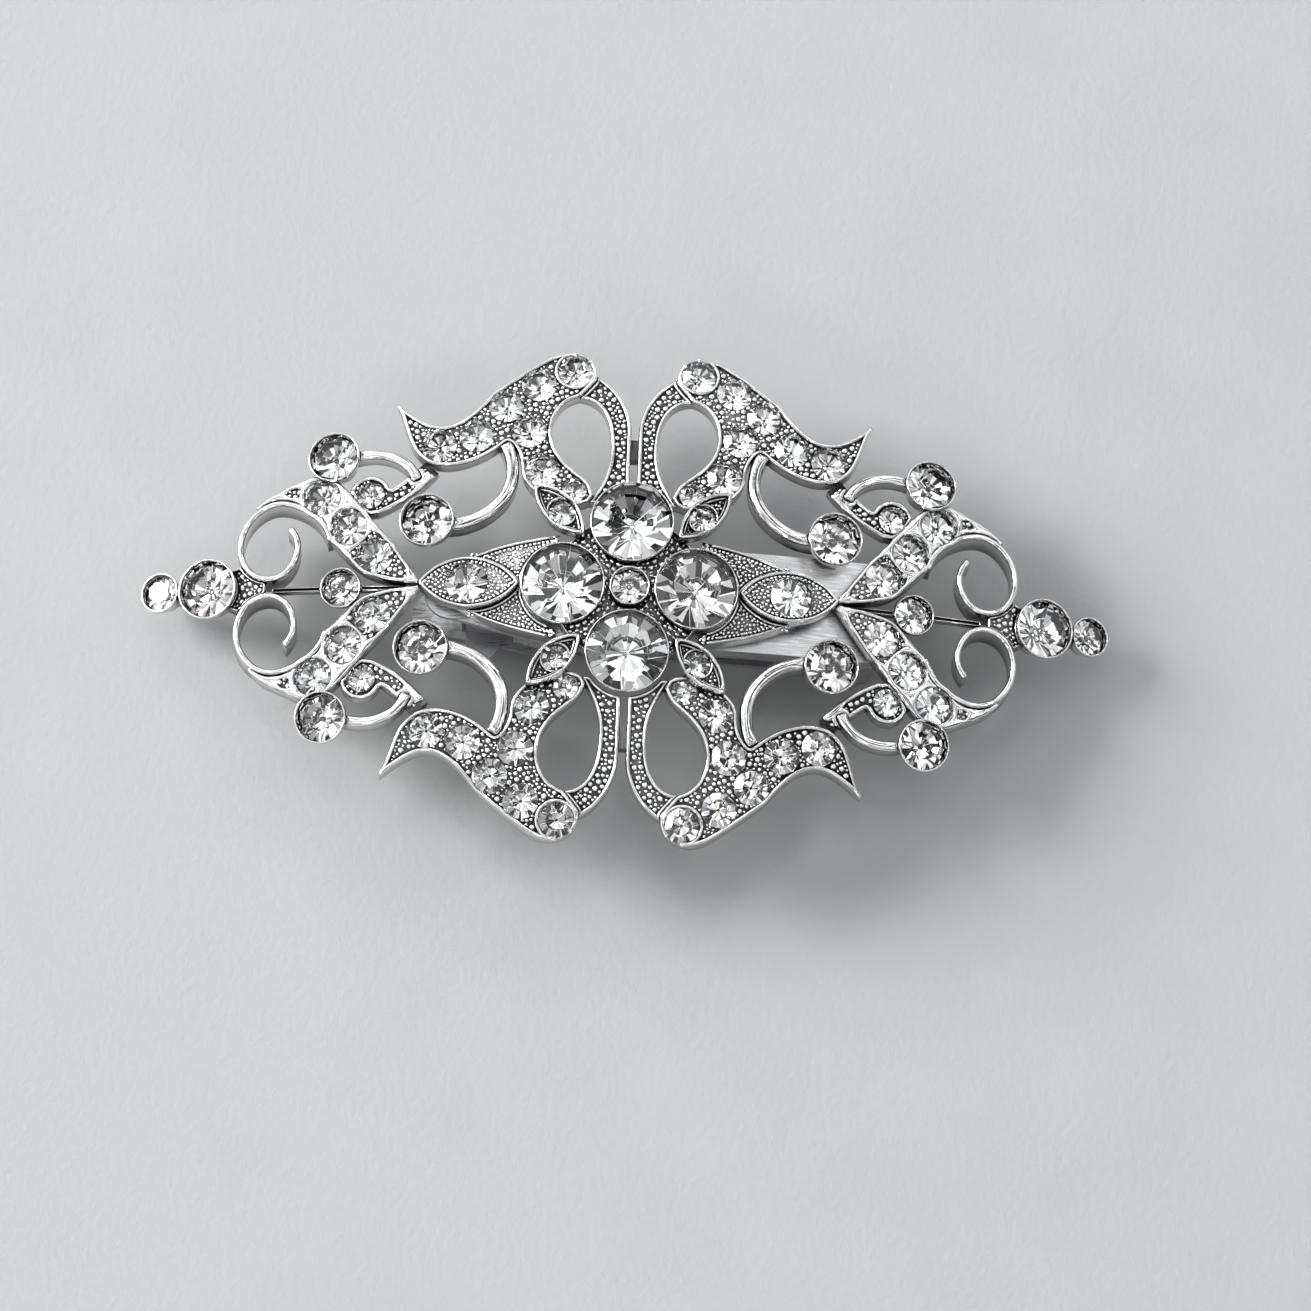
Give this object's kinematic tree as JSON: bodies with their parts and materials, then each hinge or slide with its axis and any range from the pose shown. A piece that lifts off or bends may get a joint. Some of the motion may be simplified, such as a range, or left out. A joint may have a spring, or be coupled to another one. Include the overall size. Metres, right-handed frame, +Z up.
{
  "type": "hair clip",
  "caption": "Domed openwork ornament of stone-set ribbons and scrolls on an arched hinged barrette with a sprung catch.",
  "frame": {"origin": "on the resting surface, under the middle of the ornament", "axes": "+X along the clip towards its hinge, +Z up out of the ornament's face"},
  "size_m": [0.0894, 0.046, 0.0152],
  "materials": {
    "cast_silver": "bright rhodium-look plating with darkened recesses",
    "crystal": "clear faceted, silver foil on the back",
    "plated_steel": "nickel plated, satin",
    "spring_steel": "spring steel, satin",
    "solder": "matt soft solder"
  },
  "bodies": {
    "clip_body": {"arch_lower_left": "cast_silver", "arch_lower_right": "cast_silver", "arch_stones": "crystal", "arch_upper_left": "cast_silver", "arch_upper_right": "cast_silver", "axis_cup_left": "cast_silver", "axis_cup_right": "cast_silver", "axis_stones": "crystal", "base_plate": "plated_steel", "branch_lower_left": "cast_silver", "branch_lower_right": "cast_silver", "branch_stones": "crystal", "branch_upper_left": "cast_silver", "branch_upper_right": "cast_silver", "catch_rivets": "plated_steel", "catch_saddle": "spring_steel", "centre_flower_setting": "cast_silver", "centre_stone": "crystal", "crescent_stones": "crystal", "end_finial_left": "cast_silver", "end_finial_right": "cast_silver", "end_large_stones": "crystal", "end_small_stones": "crystal", "hinge_pin": "plated_steel", "leaf_setting_lower_left": "cast_silver", "leaf_setting_lower_right": "cast_silver", "leaf_setting_upper_left": "cast_silver", "leaf_setting_upper_right": "cast_silver", "leaf_stones": "crystal", "loop_bridge_lower": "cast_silver", "loop_bridge_upper": "cast_silver", "petal_stone_left": "crystal", "petal_stone_lower": "crystal", "petal_stone_right": "crystal", "petal_stone_upper": "crystal", "ribbon_lower_left": "cast_silver", "ribbon_lower_right": "cast_silver", "ribbon_stones_lower_left": "crystal", "ribbon_stones_lower_right": "crystal", "ribbon_stones_upper_left": "crystal", "ribbon_stones_upper_right": "crystal", "ribbon_upper_left": "cast_silver", "ribbon_upper_right": "cast_silver", "scroll_arm_lower_left": "cast_silver", "scroll_arm_lower_right": "cast_silver", "scroll_arm_upper_left": "cast_silver", "scroll_arm_upper_right": "cast_silver", "scroll_stones_lower_left": "crystal", "scroll_stones_lower_right": "crystal", "scroll_stones_upper_left": "crystal", "scroll_stones_upper_right": "crystal", "side_leaf_left": "cast_silver", "side_leaf_right": "cast_silver", "side_leaf_stones": "crystal", "solder_joints": "solder"},
    "closing_arm": {"closing_arm": "plated_steel"},
    "tension_bow": {"tension_bow": "spring_steel"},
    "catch_wing_rear": {"catch_wing_rear": "spring_steel"},
    "catch_wing_front": {"catch_wing_front": "spring_steel"}
  },
  "joints": [
    {"name": "arm_hinge", "type": "hinge", "parent": "clip_body", "child": "closing_arm", "pos_m": [0.0204, 0, 0.0026], "axis": [0, -1, 0], "range_deg": [0, 60]},
    {"name": "bow_flex", "type": "hinge", "parent": "clip_body", "child": "tension_bow", "pos_m": [0.0168, 0, 0.0076], "axis": [0, 1, 0], "range_deg": [0, 2.5], "stiffness_Nm_per_rad": 0.2},
    {"name": "wing_rear_pinch", "type": "hinge", "parent": "clip_body", "child": "catch_wing_rear", "pos_m": [-0.01315, 0.0015, 0.00896], "axis": [-1, 0, 0], "range_deg": [0, 5], "stiffness_Nm_per_rad": 0.05},
    {"name": "wing_front_pinch", "type": "hinge", "parent": "clip_body", "child": "catch_wing_front", "pos_m": [-0.01315, -0.0015, 0.00896], "axis": [1, 0, 0], "range_deg": [0, 5], "stiffness_Nm_per_rad": 0.05}
  ]
}
